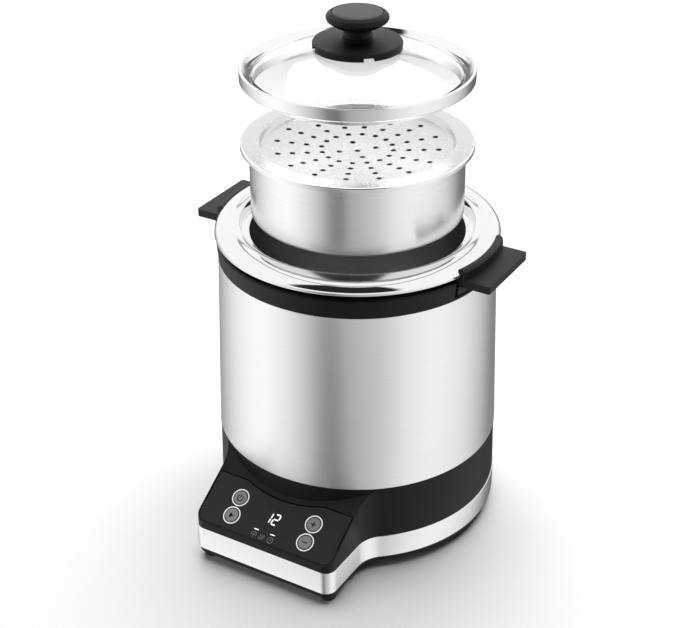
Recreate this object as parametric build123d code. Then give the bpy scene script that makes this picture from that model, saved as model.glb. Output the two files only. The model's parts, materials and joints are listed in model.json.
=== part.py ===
from build123d import *
import os
from math import cos, radians, sin, sqrt, tan

# Compact rice cooker and steamer, standing on its feet. Millimetres, +Z up, front towards -Y.
# Every piece is drawn around the pot's axis; save() moves it so that the footprint is centred.
# At rest the steamer insert, its tray and the lid hang above the pot, at the top of their lift.

os.makedirs("parts", exist_ok=True)

# ---- driving dimensions ----------------------------------------------------------------------
base_radius = 92.0            # round part of the base, at the metal trim
nose_reach = 120.8            # pot axis to the front of the control console
nose_half = 51.0              # half the console's width
nose_corner = 7.5             # plan radius of the console's front corners
flank_radius = 20.0           # concave sweep from the console into the round body
handle_reach = 104.3          # pot axis to the straight outer edge of a handle
handle_half = 26.0            # half the handle's length
jacket_foot_radius = 91.3     # steel jacket at its lower edge
jacket_head_radius = 87.5     # steel jacket at its upper edge

foot_height = 5.2
trim_foot = 8.7
trim_head = 24.8
jacket_foot = 61.4
jacket_head = 181.3
band_head = 193.5
handle_foot = 190.2
handle_head = 195.2
handle_lip_head = 201.9       # lip that laps over the rim's edge
rim_edge = 197.6              # lower outer edge of the pot's rim
rim_crest = 205.0
rim_mouth = 203.5             # where the rim turns down into the pot
pot_ledge = 198.0             # seat inside the rim for the insert or the lid

slope_angle = 33.0            # control panel, from the horizontal
slope_front = 28.95           # height of the panel plane at the front of the console
panel_arc = 94.5              # panel's rear edge follows the round body

pot_inner_radius = 67.4
pot_wall = 1.2
pot_floor = 84.0              # underside of the pot
pot_base = 2.4                # thickness of the pot's floor
pot_corner = 8.0              # radius between its floor and its wall
mouth_radius = 73.4
ledge_radius = 72.4
rim_radius = 89.3

insert_radius = 66.0
insert_height = 46.4
insert_rim_radius = 70.6
insert_rim = 2.2
insert_lift = 56.0            # insert's rest height above the pot's ledge
tray_rim_inner = 59.7
tray_rim_outer = 70.4
tray_sheet = 0.9
tray_step = 3.9               # rim down to the edge of the perforated cone
tray_fall = 4.4               # perforated cone's fall to its centre
tray_rays = 16
tray_rings = (49.6, 40.6, 31.4, 22.0)
tray_centre_ring = 11.5
tray_hole_radius = 1.75

lid_ring_radius = 70.3
lid_ring_head = 304.2
lid_ring_height = 8.0
lid_skirt_radius = 60.9
lid_skirt_foot = 291.0
glass_thickness = 3.5
glass_sphere = 129.0
glass_apex = 317.7
glass_edge = 63.4             # radius of the glass, held in the ring
glass_shelf = 297.0           # shelf in the ring that the glass lies on
vent_hole, vent_circle = 2.2, 17.0
knob_base_radius = 26.8
knob_base_edge = 4.1          # height of the knob base's rim
notch_width, notch_height = 6.5, 2.9
knob_base_foot = 315.2
knob_stem_radius = 8.2
knob_radius = 18.6
knob_head = 337.0
knob_recess = 1.8             # depth of the recess for the cap in the knob's top
screw_clearance = 3.1

button_radius = 4.4
button_column = 27.2          # button axes, left and right of the centre line
button_rows = (11.6, 24.1)    # along the slope from the console's front
button_travel = 0.8
fascia = 2.2                  # control panel thickness
liner_radius = 75.5
liner_floor = 67.0
running = 0.08                # radial clearance of a sliding fit
seam = 0.15                   # visible gap between two covers

axis_y = (nose_reach - base_radius) / 2


# ---- small tools -----------------------------------------------------------------------------
def save(node, shape):
    """Write one named piece, moved from the pot's axis to the part's own frame."""
    solids = [Pos(0, axis_y, 0) * solid for solid in shape.solids()]
    export_step(solids[0] if len(solids) == 1 else Compound(children=solids), f"parts/{node}.step")


def lathe(*points):
    """Solid of revolution about the pot's axis from (radius, height) points."""
    outline = make_face(Polyline(*[(r, 0, z) for r, z in points], close=True))
    return revolve(outline, Axis.Z)


def lathe_edges(*edges):
    """Solid of revolution about the pot's axis from a closed loop of edges in the XZ plane."""
    return revolve(make_face(Wire(list(edges))), Axis.Z)


def post(x, y, foot, head, radius):
    """Upright cylinder between two heights."""
    return Pos(x, y, foot) * Cylinder(radius, head - foot, align=(Align.CENTER, Align.CENTER, Align.MIN))


def block(x, y, z, width, depth, height):
    """Box centred at x and y, standing on z."""
    return Pos(x, y, z) * Box(width, depth, height, align=(Align.CENTER, Align.CENTER, Align.MIN))


def polar(radius, angle):
    """(x, y) of a point at a radius and an angle in degrees about the pot's axis."""
    return radius * cos(radians(angle)), radius * sin(radians(angle))


def ring_of(count, radius, start=0.0):
    """(x, y) points evenly spaced on a circle about the pot's axis."""
    return [polar(radius, start + 360 * k / count) for k in range(count)]


def join(shapes):
    """One shape out of several solids."""
    total = shapes[0]
    for shape in shapes[1:]:
        total = total + shape
    return total


def base_outline(inset):
    """Plan of the base: a disc with a round-cornered console in front, swept in by concave flanks."""
    radius, half, reach = base_radius - inset, nose_half - inset, nose_reach - inset
    console = Pos(0, -reach / 2) * RectangleRounded(2 * half, reach, nose_corner - inset)
    plan = Circle(radius) + console
    junction = -sqrt(radius**2 - half**2)
    corners = [v for v in plan.vertices() if abs(v.Y - junction) < 1]
    return fillet(corners, flank_radius + inset)


def slope_frame(x=0.0, along=0.0, lift=0.0):
    """Place on the console's sloped face: x across, 'along' up the slope, 'lift' off the face."""
    start = Location(Plane(origin=(0, -nose_reach, slope_front), x_dir=(1, 0, 0), z_dir=slope_normal))
    return start * Pos(x, along, lift)


slope_normal = (0, -sin(radians(slope_angle)), cos(radians(slope_angle)))
corner_low = (Align.CENTER, Align.CENTER, Align.MIN)


def above_slope(lift):
    """Everything in front of the body and above the sloped face, moved along its normal by 'lift'."""
    return slope_frame(lift=lift) * Box(240, 150, 90, align=corner_low)


def slope_disc(x, along, low, high, radius):
    """Cylinder square to the slope, between two heights measured from the sloped face."""
    return slope_frame(x, along, low) * Cylinder(radius, high - low, align=corner_low)


def slope_block(x, along, low, high, width, depth):
    """Box square to the slope, between two heights measured from the sloped face."""
    return slope_frame(x, along, low) * Box(width, depth, high - low, align=corner_low)


# ---- base: housing, trim, plate, feet --------------------------------------------------------
housing_wall = 2.5
housing_inset = 0.5
skirt_inset = 1.6
housing_draft = 1.0
under_panel = 5.2             # depth of the housing's cavity below the sloped face
panel_inset = 2.0
panel_depth = 30.6            # control panel's length from the console's front, in plan
screw_posts = [(-45.5, -96), (45.5, -96), (-72, 47), (72, 47)]
screw_hole = 1.5
board_pillars = [(x, along) for x in (-39.0, 39.0) for along in (11.0, 25.0)]
board_low = -15.5             # underside of the control board, from the sloped face
board_thick = 1.6
board_middle = 17.8
gland_height = 42.0
gland_pocket = 88.3           # flat pocket in the rear wall, from the pot's axis
gland_sleeve = 5.5
pocket_side = 20.0
pillar_radius, pillar_hole = 2.6, 1.25
post_radius, post_head = 3.5, 34.0
flange_inner, flange_foot = 84.0, 58.4   # inward flange that carries the jacket
board_window = (72, 23.8)     # opening under the buttons and the display


def housing_body(inset, lower, foot):
    """Solid body of the housing above the trim, inset all round and lowered at the slope."""
    height = jacket_foot - foot
    head_radius = base_radius - inset - height * tan(radians(housing_draft))
    round_part = lathe((0, foot), (base_radius - inset, foot), (head_radius, jacket_foot), (0, jacket_foot))
    console = Pos(0, 0, foot) * extrude(base_outline(inset), height, taper=housing_draft)
    return round_part + (console - above_slope(-lower))


def panel_prism(gap):
    """Upright prism over the control panel's outline, grown by a gap all round."""
    front = Pos(0, -nose_reach + (panel_depth + gap) / 2) * Rectangle(200, panel_depth + gap)
    plan = (base_outline(panel_inset - gap) & front) - Circle(panel_arc - gap)
    return Pos(0, 0, trim_head - 5) * extrude(plan, 60)


def make_housing():
    skirt_foot = trim_foot + 0.8
    skirt_height = trim_head - skirt_foot
    shell = housing_body(housing_inset, 0, trim_head)
    shell = shell + Pos(0, 0, skirt_foot) * extrude(base_outline(skirt_inset), skirt_height)
    cavity = housing_body(housing_inset + housing_wall, under_panel, trim_head)
    below = extrude(base_outline(skirt_inset + housing_wall), trim_head - trim_foot)
    cavity = cavity + Pos(0, 0, trim_foot) * below
    shell = shell - cavity
    flange_outer = base_radius - housing_wall
    shell = shell + lathe((flange_inner, flange_foot), (flange_outer, flange_foot),
                          (flange_outer, jacket_foot), (flange_inner, jacket_foot))
    # seat for the control panel, with one long window under the buttons and the display
    above_seat = slope_frame(lift=-fascia - 0.1) * Box(200, 150, 60, align=corner_low)
    shell = shell - (panel_prism(seam) & above_seat)
    shell = shell - slope_block(0, board_middle, -12, 0, *board_window)
    for x, along in board_pillars:
        shell = shell + slope_disc(x, along, board_low + board_thick, -4.0, pillar_radius)
        shell = shell - slope_disc(x, along, board_low, -8.0, pillar_hole)
    # backed flat pocket and hole at the rear for the cable gland
    half_side = pocket_side / 2
    backing = block(0, gland_pocket - 1.5, gland_height - half_side - 1, pocket_side + 4, 4, pocket_side + 2)
    pocket = block(0, gland_pocket + 5, gland_height - half_side, pocket_side, 10, pocket_side)
    shell = shell + backing - pocket
    shell = shell - Pos(0, base_radius, gland_height) * Rot(90, 0, 0) * Cylinder(gland_sleeve + 0.1, 40)
    for x, y in screw_posts:
        shell = shell + post(x, y, skirt_foot, post_head, post_radius)
        shell = shell - post(x, y, trim_foot, post_head - 3, screw_hole)
    return shell


trim_wall = 1.3
plate_inset = 1.2
vent_rows, vent_pitch = 6, 14
vent_length, vent_width = 70, 4


def make_trim():
    height = trim_head - trim_foot
    band = extrude(base_outline(0), height) - extrude(base_outline(trim_wall), height)
    return Pos(0, 0, trim_foot) * band


def make_base_plate():
    """Bottom cover with rows of air slots and holes for the screws."""
    plate = Pos(0, 0, foot_height) * extrude(base_outline(plate_inset), trim_foot - foot_height)
    first = -vent_pitch * (vent_rows - 1) / 2
    for row in range(vent_rows):
        plate = plate - block(0, first + vent_pitch * row, foot_height - 1, vent_length, vent_width, 10)
    for x, y in screw_posts:
        plate = plate - post(x, y, foot_height - 1, trim_foot + 1, screw_hole + 0.3)
    return plate


foot_places = [(-43.5, -111.5), (43.5, -111.5), (-52.0, 60.0), (52.0, 60.0)]
pad_foot_radius, pad_head_radius = 5.0, 6.2
base_head_height = 1.6


def make_feet():
    pad = Cone(pad_foot_radius, pad_head_radius, foot_height, align=corner_low)
    return Compound(children=[Pos(x, y, 0) * pad for x, y in foot_places])


def make_base_screws():
    """Slotted screws from below, through the base plate into the housing's posts."""
    low = foot_height - base_head_height
    screws = []
    for x, y in screw_posts:
        head = post(x, y, low, foot_height, 3.0) - block(x, y, low, 4.0, 0.8, 0.8)
        screws.append(head + post(x, y, foot_height, post_head - 4, screw_hole - 0.05))
    return Compound(children=screws)


# ---- body: jacket, band, liner ---------------------------------------------------------------
def make_jacket():
    wall = 0.8
    foot, head = jacket_foot_radius, jacket_head_radius
    return lathe(
        (foot - wall, jacket_foot), (foot, jacket_foot), (head, jacket_head), (head - wall, jacket_head),
    )


band_head_radius = 88.4
band_bore = 80.0
band_ledge = 186.2            # lower face of the band's inner lip, over the liner's flange
recess_gap = 2.2              # free space at each end of a handle in the band's recess


def make_top_band():
    """Plastic band with a tongue inside the jacket, an inner lip and a recess for each handle."""
    radius, tongue = jacket_head_radius, jacket_head - 4
    band = lathe(
        (radius - 1.8, tongue), (radius - 1.0, tongue), (radius - 1.0, jacket_head), (radius, jacket_head),
        (band_head_radius, band_head - 1), (band_head_radius - 0.8, band_head), (band_bore, band_head),
        (band_bore, band_ledge), (band_bore + 2.5, band_ledge), (band_bore + 2.5, band_head - 3),
        (radius - 2.3, band_head - 3), (radius - 2.3, jacket_head),
    )
    for side in (-1, 1):
        band = band - block(side * 88, 0, jacket_head + 1.6, 22, 2 * (handle_half + recess_gap), 20)
    return band


liner_wall = 0.8
liner_head = 185.5
liner_flange = 84.0
liner_hole = 7.0


def make_liner():
    """Aluminium cup round the pot, with a flange under the band and a hole for the sensor."""
    wall = liner_wall
    return lathe(
        (liner_hole, liner_floor - wall), (liner_radius, liner_floor - wall),
        (liner_radius, liner_head - wall), (liner_flange, liner_head - wall),
        (liner_flange, liner_head), (liner_radius - wall, liner_head),
        (liner_radius - wall, liner_floor), (liner_hole, liner_floor),
    )


# ---- heater ----------------------------------------------------------------------------------
heater_radius = 62.0
heater_foot = 76.0
element_radius = 44.0
element_tube = 3.4
cold_leg_radius = 2.6
sensor_bore = 12.6
fuse_y = -24.0


def make_heating_plate():
    """Cast plate with a hole for the sensor and a groove below for the element."""
    plate = lathe(
        (sensor_bore, heater_foot), (heater_radius, heater_foot), (heater_radius, pot_floor - 1),
        (heater_radius - 1, pot_floor), (sensor_bore + 0.6, pot_floor), (sensor_bore, pot_floor - 0.6),
    )
    inner, outer = element_radius - element_tube - 0.1, element_radius + element_tube + 0.1
    groove = post(0, 0, heater_foot - 1, heater_foot + element_tube + 0.1, outer)
    return plate - (groove - post(0, 0, heater_foot - 2, pot_floor, inner))


def make_heating_element():
    """Tubular element bent into an open ring, with a cold leg down from each end."""
    section = Plane(origin=(element_radius, 0, heater_foot), z_dir=(0, 1, 0)) * Circle(element_tube)
    tube = Rot(0, 0, 105) * revolve(section, Axis.Z, 330)
    for angle in (77, 103):
        tube = tube + post(*polar(element_radius, angle), liner_floor + 1.5, heater_foot + 1, cold_leg_radius)
    return tube


def make_heater_standoffs():
    return Compound(children=[post(x, y, liner_floor, heater_foot, 3.0) for x, y in ring_of(3, 55, 30)])


def make_thermal_fuse():
    clip = block(0, fuse_y, heater_foot - 1.2, 14, 5, 1.2)
    barrel = Pos(0, fuse_y, heater_foot - 2.9) * Rot(0, 90, 0) * Cylinder(2.0, 11)
    return clip + barrel


sensor_radius = 12.5
sensor_foot = 77.5
sensor_head = 83.9
stem_radius = 2.2
guide_head = liner_floor - liner_wall


def make_temperature_sensor():
    """Sprung cup that bears on the pot, on a stem."""
    cup = lathe((0, sensor_foot), (sensor_radius, sensor_foot), (sensor_radius, sensor_head - 1),
                (sensor_radius - 1, sensor_head), (0, sensor_head))
    return cup + post(0, 0, 60.0, sensor_foot, stem_radius)


def make_sensor_guide():
    """Disc under the liner's central hole, with a bore that guides the sensor's stem."""
    return post(0, 0, guide_head - 1.2, guide_head, 9.5) - post(0, 0, 60, 70, stem_radius + running)


def make_sensor_spring():
    wire_radius, turns = 0.45, 4
    height = sensor_foot - guide_head - 2 * wire_radius - 0.2
    foot = guide_head + wire_radius + 0.1
    coil = Helix(pitch=height / turns, height=height, radius=5.2, center=(0, 0, foot))
    section = Plane(origin=coil @ 0, z_dir=coil % 0) * Circle(wire_radius)
    return sweep(section, coil)


# ---- console: panel, display, buttons, boards ------------------------------------------------
button_places = {
    "power_button": (-button_column, button_rows[1]),
    "start_button": (-button_column, button_rows[0]),
    "plus_button": (button_column, button_rows[1]),
    "minus_button": (button_column, button_rows[0]),
}
window_along = 17.6
window_width, window_depth = 27.0, 13.0


def make_control_panel():
    slab = slope_frame(lift=-fascia) * Box(200, 150, fascia, align=corner_low)
    panel = panel_prism(0) & slab
    for x, along in button_places.values():
        panel = panel - slope_disc(x, along, -4, 1, button_radius + running)
        panel = panel - (slope_disc(x, along, -0.6, 1, 5.85) - slope_disc(x, along, -0.6, 1, 5.1))
    panel = panel - slope_block(0, window_along, -4, 1, window_width - 4, window_depth - 4)
    panel = panel - slope_block(0, window_along, -1.0, 1, window_width, window_depth)
    return panel


def make_display_window():
    return slope_block(0, window_along, -1.0, 0, window_width - 0.1, window_depth - 0.1)


def make_display_module():
    return slope_block(0, window_along, board_low + board_thick, -fascia - 0.3, 24, 10)


def make_button_rings():
    rings = []
    for x, along in button_places.values():
        rings.append(slope_disc(x, along, -0.6, 0.12, 5.8) - slope_disc(x, along, -0.6, 0.12, 5.15))
    return Compound(children=rings)


def make_button(x, along):
    """Round cap with a retaining collar behind the panel and a plunger towards its switch."""
    cap = slope_disc(x, along, -5.2, 0.35, button_radius)
    cap = fillet(cap.edges().sort_by(Axis((0, 0, 0), slope_normal))[-1], 0.4)
    collar = slope_disc(x, along, -4.4, -2.5, 5.2)
    plunger = slope_disc(x, along, -8.6, -4.4, 1.5)
    return cap + collar + plunger


def make_tact_switches():
    bodies = []
    for x, along in button_places.values():
        body = slope_block(x, along, board_low + board_thick, -11.0, 6, 6)
        bodies.append(body + slope_disc(x, along, -11.0, -9.6, 1.7))
    return Compound(children=bodies)


def make_control_board():
    board = slope_block(0, board_middle, board_low, board_low + board_thick, 84, 20)
    for x, along in board_pillars:
        board = board - slope_disc(x, along, board_low - 1, board_low + 3, 1.3)
    return board


def make_board_screws():
    screws = []
    for x, along in board_pillars:
        head = slope_disc(x, along, board_low - 1.4, board_low, 2.2)
        screws.append(head + slope_disc(x, along, board_low, board_low + 6, 1.2))
    return Compound(children=screws)


# ---- power electronics under the liner -------------------------------------------------------
power_floor = 20.0
power_top = power_floor + board_thick
power_size = (78, 62)
power_y = 10.0
transformer_at = (-20, 18)
relay_at = (18, 24)
terminal_y = 41.0
terminal_pitch = 7.0
can_radius, can_pitch = 5.0, 13.0


def make_power_board():
    """Board on four legs that stand on the base plate."""
    board = block(0, power_y, power_floor, *power_size, board_thick)
    legs = [post(x, power_y + y, trim_foot, power_floor, 3.0) for x in (-34, 34) for y in (-26, 26)]
    return join([board] + legs)


def make_transformer():
    core = block(*transformer_at, power_top, 30, 26, 20)
    winding = block(*transformer_at, power_top + 4, 18, 34, 12)
    return core + winding


def make_relay():
    return fillet(block(*relay_at, power_top, 16, 20, 16).edges().filter_by(Axis.Z), 1.0)


def make_capacitors():
    """Three upright cans, each a little lower than the one before."""
    cans = [post(10 + can_pitch * k, 0, power_top, power_top + 12.4 - 2 * k, can_radius) for k in range(3)]
    return Compound(children=cans)


def make_terminal_block():
    """Three-way terminal block with an open well for each screw."""
    body = block(0, terminal_y, power_top, 22, 8, 10)
    for k in (-1, 0, 1):
        body = body - post(terminal_pitch * k, terminal_y, power_top + 4.4, power_top + 12, 2.0)
    return body


cable_bore = 3.8


def make_cable_gland():
    """Bush in the rear wall: a flange in the pocket, a sleeve through the wall and a bore."""
    turn = Rot(-90, 0, 0)
    inner_end = gland_pocket - 10
    sleeve = Pos(0, inner_end, gland_height) * turn * Cylinder(gland_sleeve, 11, align=corner_low)
    flange = Pos(0, gland_pocket, gland_height) * turn * Cone(8.6, 7.6, 3.3, align=corner_low)
    bore = Pos(0, inner_end - 1, gland_height) * turn * Cylinder(cable_bore, 20, align=corner_low)
    return sleeve + flange - bore


# ---- cooking pot -----------------------------------------------------------------------------
def rim_line(drop):
    """Upper edge of the pot's domed rim in the XZ plane, lowered by the sheet's thickness."""
    return [
        (mouth_radius + drop * 0.2, 0, rim_mouth - drop),
        (77.0, 0, rim_crest - drop),
        (82.5, 0, rim_crest - 1.2 - drop),
        (87.4 - drop * 0.5, 0, rim_crest - 4.2 - drop * 0.6),
        (rim_radius - drop, 0, rim_edge + 0.2),
    ]


def make_pot():
    """Deep cup with rounded corners, a ledge inside its mouth and a domed rim."""
    wall, corner, diagonal = pot_wall, pot_corner, 1 - sqrt(0.5)
    inner, outer = pot_inner_radius, pot_inner_radius + wall
    inside, turned = pot_floor + pot_base, corner + wall
    top, low = rim_line(0), rim_line(1.4)
    edges = [
        Line((0, 0, inside), (inner - corner, 0, inside)),
        ThreePointArc(
            (inner - corner, 0, inside),
            (inner - corner * diagonal, 0, inside + corner * diagonal),
            (inner, 0, inside + corner)),
        Line((inner, 0, inside + corner), (inner, 0, pot_ledge)),
        Line((inner, 0, pot_ledge), (ledge_radius, 0, pot_ledge)),
        Line((ledge_radius, 0, pot_ledge), top[0]),
        Spline(*top),
        Line(top[-1], low[-1]),
        Spline(*reversed(low)),
        Line(low[0], (ledge_radius + wall, 0, pot_ledge - wall)),
        Line((ledge_radius + wall, 0, pot_ledge - wall), (outer, 0, pot_ledge - wall)),
        Line((outer, 0, pot_ledge - wall), (outer, 0, pot_floor + turned)),
        ThreePointArc(
            (outer, 0, pot_floor + turned),
            (outer - turned * diagonal, 0, pot_floor + turned * diagonal),
            (outer - turned, 0, pot_floor)),
        Line((outer - turned, 0, pot_floor), (0, 0, pot_floor)),
        Line((0, 0, pot_floor), (0, 0, inside)),
    ]
    pot = lathe_edges(*edges)
    for pin in rivet_pins(rivet_radius + 0.02):
        pot = pot - pin
    return pot


tongue_foot, tongue_head = 190.6, 194.6
tongue_half = 14.0
rivet_rows = (-7.0, 7.0)
rivet_radius, rivet_length = 1.4, 5.6
rivet_middle = 69.5           # middle of a rivet, from the pot's axis


def rivet_pins(radius):
    """Short radial pins through the pot's wall into the handles' tongues."""
    height = (tongue_foot + tongue_head) / 2
    pin = Rot(0, 90, 0) * Cylinder(radius, rivet_length)
    return [Pos(side * rivet_middle, y, height) * pin for side in (-1, 1) for y in rivet_rows]


plate_inner = 84.6            # handle plate's concave inner edge
lip_inner, lip_outer = 89.7, 92.2
lip_lap = 87.4                # how far in the lip laps over the rim
apron_foot = 184.0


def make_handle(side):
    """Side handle: flat plate with a straight outer edge, a lip over the rim and an apron in the band."""
    thick, middle = handle_head - handle_foot, 60
    plate = block(side * middle, 0, handle_foot, 2 * (handle_reach - middle), 2 * handle_half, thick)
    plate = plate - post(0, 0, 180, 210, plate_inner)
    plate = fillet([e for e in plate.edges().filter_by(Axis.Z) if abs(e.center().X) > handle_reach - 1], 1.5)
    window = block(side * 100, 0, 170, 60, 2 * handle_half, 40)
    lip = lathe(
        (lip_inner, handle_foot), (lip_outer, handle_foot), (lip_outer - 0.5, handle_lip_head - 1.6),
        (lip_outer - 1.8, handle_lip_head - 0.2), (lip_lap + 0.6, handle_lip_head),
        (lip_lap, handle_lip_head - 0.7), (lip_inner - 0.9, handle_lip_head - 1.9),
        (lip_inner, handle_lip_head - 3.9),
    )
    apron = lathe((plate_inner, apron_foot), (plate_inner + 3, apron_foot),
                  (plate_inner + 3.8, handle_foot + 1), (plate_inner, handle_foot + 1))
    tongue = block(side * 78, 0, tongue_foot, 24, 2 * tongue_half, tongue_head - tongue_foot)
    tongue = tongue - post(0, 0, 180, 200, pot_inner_radius + pot_wall + 0.02)
    handle = plate + (lip & window) + (apron & window) + tongue
    for pin in rivet_pins(rivet_radius + 0.02):
        handle = handle - pin
    return handle


def make_handle_rivets():
    return Compound(children=rivet_pins(rivet_radius))


# ---- steamer insert and tray -----------------------------------------------------------------
insert_seat = pot_ledge + insert_lift
tray_seat = insert_seat + insert_rim


def perforations(foot, head):
    """Straight rays of round holes, a ring of four and one in the centre."""
    holes = [post(0, 0, foot, head, tray_hole_radius)]
    holes += [post(x, y, foot, head, tray_hole_radius) for x, y in ring_of(4, tray_centre_ring, 45)]
    for radius in tray_rings:
        holes += [post(x, y, foot, head, tray_hole_radius) for x, y in ring_of(tray_rays, radius)]
    return holes


def make_insert():
    """Straight-sided cup with a perforated floor and a flange that sits on the pot's ledge."""
    wall = 0.7
    foot = insert_seat + insert_rim - insert_height
    head = insert_seat + insert_rim
    body = lathe(
        (0, foot), (insert_radius - 3, foot), (insert_radius - 0.9, foot + 0.9), (insert_radius, foot + 3),
        (insert_radius, head - insert_rim), (insert_rim_radius, head - insert_rim), (insert_rim_radius, head),
        (insert_radius - wall, head), (insert_radius - wall, foot + 3.2), (insert_radius - 1.4, foot + 1.5),
        (insert_radius - 3.2, foot + wall), (0, foot + wall),
    )
    for hole in perforations(foot - 1, foot + 2):
        body = body - hole
    return body


def make_tray():
    """Shallow perforated cone with a step up to a flat rim, lying on the insert's flange."""
    head = tray_seat + tray_sheet
    plate_edge = tray_rim_inner - 1.5
    body = lathe(
        (0, head - tray_step - tray_fall), (plate_edge, head - tray_step), (tray_rim_inner, head),
        (tray_rim_outer, head), (tray_rim_outer, tray_seat), (tray_rim_inner - 0.7, tray_seat),
        (plate_edge - 0.7, head - tray_step - tray_sheet), (0, head - tray_step - tray_fall - tray_sheet),
    )
    for hole in perforations(head - 14, head):
        body = body - hole
    return body


# ---- lid -------------------------------------------------------------------------------------
ring_foot = lid_ring_head - lid_ring_height
knob_foot = knob_base_foot + knob_base_edge + 3.0
cap_radius = 15.15
washer_thick = 0.7
screw_radius = 2.0
screw_seat = glass_apex - glass_thickness - washer_thick - 0.3
screw_end = 332.5


def make_lid_ring():
    """Rolled steel band: outer face, thin top lip, hollow inner side, shelf and centring skirt."""
    sheet = 0.9
    outer, skirt = lid_ring_radius, lid_skirt_radius
    return lathe(
        (outer, ring_foot), (outer, lid_ring_head - 0.6), (outer - 0.6, lid_ring_head),
        (outer - 1.6, lid_ring_head), (outer - 3.0, glass_shelf + 4.6), (outer - 4.3, glass_shelf + 2.2),
        (outer - 5.9, glass_shelf + 0.6), (skirt + sheet, glass_shelf), (skirt, ring_foot),
        (skirt, lid_skirt_foot), (skirt + sheet, lid_skirt_foot), (skirt + sheet, ring_foot),
    )


def dome(lift):
    """Height of a lid glass surface above a radius, on a sphere through the apex."""
    return lambda r: glass_apex + lift - glass_sphere + sqrt(glass_sphere**2 - r**2)


def dome_arc(lift, start, end):
    """Arc of a lid glass surface between two radii."""
    height, middle = dome(lift), (start + end) / 2
    return ThreePointArc((start, 0, height(start)), (middle, 0, height(middle)), (end, 0, height(end)))


def make_lid_glass():
    top, low = dome(0), dome(-glass_thickness)
    glass = lathe_edges(
        Line((0, 0, low(0)), (0, 0, top(0))),
        dome_arc(0, 0, glass_edge),
        Line((glass_edge, 0, top(glass_edge)), (glass_edge, 0, low(glass_edge))),
        dome_arc(-glass_thickness, glass_edge, 0),
    )
    glass = glass - post(0, 0, ring_foot, knob_head, screw_clearance)
    for x, y in ring_of(2, vent_circle):
        glass = glass - post(x, y, ring_foot, knob_head, vent_hole)
    return glass


def make_knob_base():
    """Round escutcheon on the glass, hollow below, with four vent notches in its edge."""
    foot, edge, radius = knob_base_foot, knob_base_foot + knob_base_edge, knob_base_radius
    body = lathe(
        (0, foot), (radius, foot), (radius, edge - 0.9), (radius - 0.7, edge),
        (10.6, edge + 1.4), (9.2, edge + 2.6), (8.4, knob_foot), (0, knob_foot),
    )
    body = body - Pos(0, 0, glass_apex - glass_sphere + 0.1) * Sphere(glass_sphere)
    body = body - post(0, 0, ring_foot, knob_head, screw_clearance)
    for k in range(4):
        notch = block(radius, 0, foot - 1, 8, notch_width, notch_height + 1)
        body = body - Rot(0, 0, 45 + 90 * k) * notch
    for x, y in ring_of(2, vent_circle):
        body = body - post(x, y, ring_foot, edge - 1.5, vent_hole + 1.8)
    return body


def make_lid_knob():
    """Stem that flares into a mushroom, with a recess on top for the cap and a blind screw hole."""
    stem, widest, recess = knob_stem_radius, knob_radius, knob_head - knob_recess
    body = lathe(
        (0, knob_foot), (stem, knob_foot), (stem, knob_foot + 4.6), (stem + 1.4, knob_foot + 5.4),
        (14.4, knob_foot + 6.2), (widest - 1.2, knob_foot + 8.0), (widest, knob_foot + 10.2),
        (widest - 0.3, knob_head - 3.0), (widest - 1.4, knob_head - 1.4),
        (cap_radius + 0.45, knob_head - 0.5), (cap_radius + 0.15, recess), (0, recess),
    )
    return body - post(0, 0, knob_foot - 1, screw_end + 0.5, screw_radius + 0.05)


def make_knob_cap():
    recess = knob_head - knob_recess
    return lathe(
        (0, recess), (cap_radius, recess), (cap_radius, knob_head - 0.7),
        (cap_radius - 0.55, knob_head - 0.2), (cap_radius - 3.0, knob_head), (0, knob_head),
    )


def make_knob_screw():
    """Slotted screw from inside the lid, through the washer, the glass and the base."""
    head = post(0, 0, screw_seat - 2.2, screw_seat, 4.2)
    head = head - block(0, 0, screw_seat - 2.2, 5.5, 1.0, 1.0)
    return head + post(0, 0, screw_seat, screw_end, screw_radius)


def make_knob_washer():
    washer = post(0, 0, screw_seat, screw_seat + washer_thick, 7.5)
    return washer - post(0, 0, screw_seat - 1, screw_seat + 2, screw_radius + 0.1)


# ---- write every piece -----------------------------------------------------------------------
save("base_housing", make_housing())
save("base_trim", make_trim())
save("base_plate", make_base_plate())
save("rubber_feet", make_feet())
save("base_screws", make_base_screws())
save("outer_jacket", make_jacket())
save("top_band", make_top_band())
save("inner_liner", make_liner())
save("heating_plate", make_heating_plate())
save("heating_element", make_heating_element())
save("heater_standoffs", make_heater_standoffs())
save("thermal_fuse", make_thermal_fuse())
save("temperature_sensor", make_temperature_sensor())
save("sensor_guide", make_sensor_guide())
save("sensor_spring", make_sensor_spring())
save("control_panel", make_control_panel())
save("display_window", make_display_window())
save("display_module", make_display_module())
save("button_rings", make_button_rings())
for name, (place_x, place_along) in button_places.items():
    save(name, make_button(place_x, place_along))
save("tact_switches", make_tact_switches())
save("control_board", make_control_board())
save("board_screws", make_board_screws())
save("power_board", make_power_board())
save("transformer", make_transformer())
save("relay", make_relay())
save("capacitors", make_capacitors())
save("terminal_block", make_terminal_block())
save("cable_gland", make_cable_gland())
save("cooking_pot", make_pot())
save("handle_left", make_handle(-1))
save("handle_right", make_handle(1))
save("handle_rivets", make_handle_rivets())
save("steamer_insert", make_insert())
save("steam_tray", make_tray())
save("lid_ring", make_lid_ring())
save("lid_glass", make_lid_glass())
save("knob_base", make_knob_base())
save("lid_knob", make_lid_knob())
save("knob_cap", make_knob_cap())
save("knob_screw", make_knob_screw())
save("knob_washer", make_knob_washer())
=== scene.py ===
import json
from math import atan2, cos, pi, radians, sin, sqrt

import bmesh
import bpy
import numpy as np
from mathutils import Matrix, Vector
from mathutils.geometry import delaunay_2d_cdt


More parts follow.
